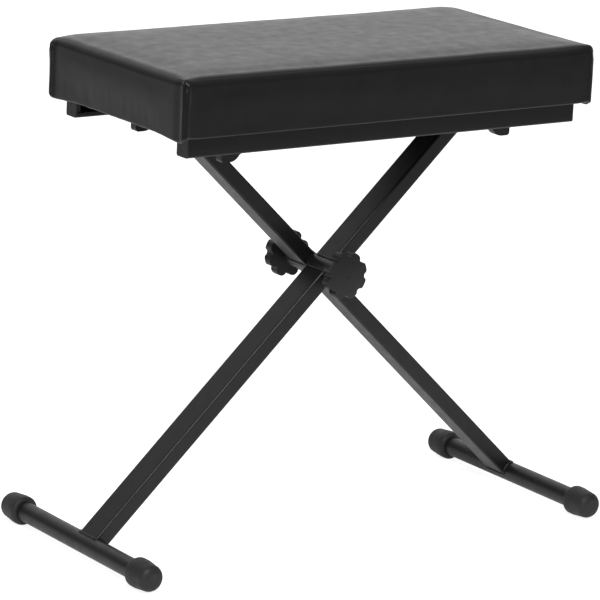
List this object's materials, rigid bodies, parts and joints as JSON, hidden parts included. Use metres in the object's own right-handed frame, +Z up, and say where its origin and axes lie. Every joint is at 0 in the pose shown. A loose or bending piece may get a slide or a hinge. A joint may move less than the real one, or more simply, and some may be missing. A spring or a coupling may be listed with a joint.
{
  "type": "piano bench",
  "caption": "Folding bench with a padded vinyl seat on slotted rails, crossed tube legs clamped by lobed knobs, and capped foot bars.",
  "frame": {"origin": "on the floor, under the middle of the seat", "axes": "+X along the seat to the player's right as seen from the front knob's side, +Y from the front leg to the rear leg, +Z up"},
  "size_m": [0.696, 0.339, 0.6144],
  "materials": {
    "black_vinyl": "soft satin grain",
    "foam": "matte open cell",
    "plywood": "raw matte",
    "dust_cloth": "matte non-woven",
    "plug_plastic": "matte",
    "nylon": "smooth matte",
    "black_rubber": "matte",
    "zinc_steel": "zinc plated",
    "fibre": "matte pressed fibre",
    "brass": "turned",
    "knob_plastic": "fine moulded grain",
    "black_steel": "satin powder coat"
  },
  "bodies": {
    "seat": {"seat_board": "plywood", "seat_foam": "foam", "seat_cover": "black_vinyl", "dust_cover": "dust_cloth", "front_rail": "black_steel", "rear_rail": "black_steel", "rail_screws": "zinc_steel", "front_rail_left_plug": "plug_plastic", "front_rail_right_plug": "plug_plastic", "rear_rail_left_plug": "plug_plastic", "rear_rail_right_plug": "plug_plastic"},
    "left_glides": {"left_front_glide": "nylon", "left_rear_glide": "nylon"},
    "rear_leg": {"rear_leg_lower_tube": "black_steel", "rear_leg_upper_tube": "black_steel", "rear_leg_barrel": "black_steel", "left_cross_tube": "black_steel", "right_foot_tube": "black_steel", "right_foot_front_cap": "black_rubber", "right_foot_rear_cap": "black_rubber", "pivot_stud": "zinc_steel", "friction_disc": "fibre", "rear_washer": "zinc_steel"},
    "front_leg": {"front_leg_lower_tube": "black_steel", "front_leg_upper_tube": "black_steel", "front_leg_barrel": "black_steel", "right_cross_tube": "black_steel", "left_foot_tube": "black_steel", "left_foot_front_cap": "black_rubber", "left_foot_rear_cap": "black_rubber", "front_washer": "zinc_steel"},
    "right_glides": {"right_front_glide": "nylon", "right_rear_glide": "nylon"},
    "front_knob": {"front_knob": "knob_plastic", "front_knob_insert": "brass"},
    "rear_knob": {"rear_knob": "knob_plastic", "rear_knob_insert": "brass"}
  },
  "joints": [
    {"name": "fold", "type": "hinge", "parent": "left_glides", "child": "rear_leg", "pos_m": [-0.19335, 0, 0.51641], "axis": [0, -1, 0], "range_deg": [0, 34]},
    {"name": "left_glide_slide", "type": "slide", "parent": "seat", "child": "left_glides", "axis": [-1, 0, 0], "range_m": [0, 0.0701]},
    {"name": "scissor", "type": "hinge", "parent": "rear_leg", "child": "front_leg", "pos_m": [0, 0, 0.33228], "axis": [0, 1, 0], "range_deg": [0, 68.2]},
    {"name": "right_glide_turn", "type": "hinge", "parent": "front_leg", "child": "right_glides", "pos_m": [0.19335, 0, 0.51641], "axis": [0, -1, 0], "range_deg": [0, 34.2]},
    {"name": "front_knob_turn", "type": "hinge", "parent": "front_leg", "child": "front_knob", "pos_m": [0, -0.0655, 0.33228], "axis": [0, -1, 0], "range_deg": [0, 720]},
    {"name": "rear_knob_turn", "type": "hinge", "parent": "rear_leg", "child": "rear_knob", "pos_m": [0, 0.0655, 0.33228], "axis": [0, 1, 0], "range_deg": [0, 720]}
  ],
  "couplings": [
    {"joint": "left_glide_slide", "follows": "fold", "m_per_rad": 0.1178},
    {"joint": "scissor", "follows": "fold", "ratio": 2},
    {"joint": "right_glide_turn", "follows": "fold", "ratio": 1}
  ]
}
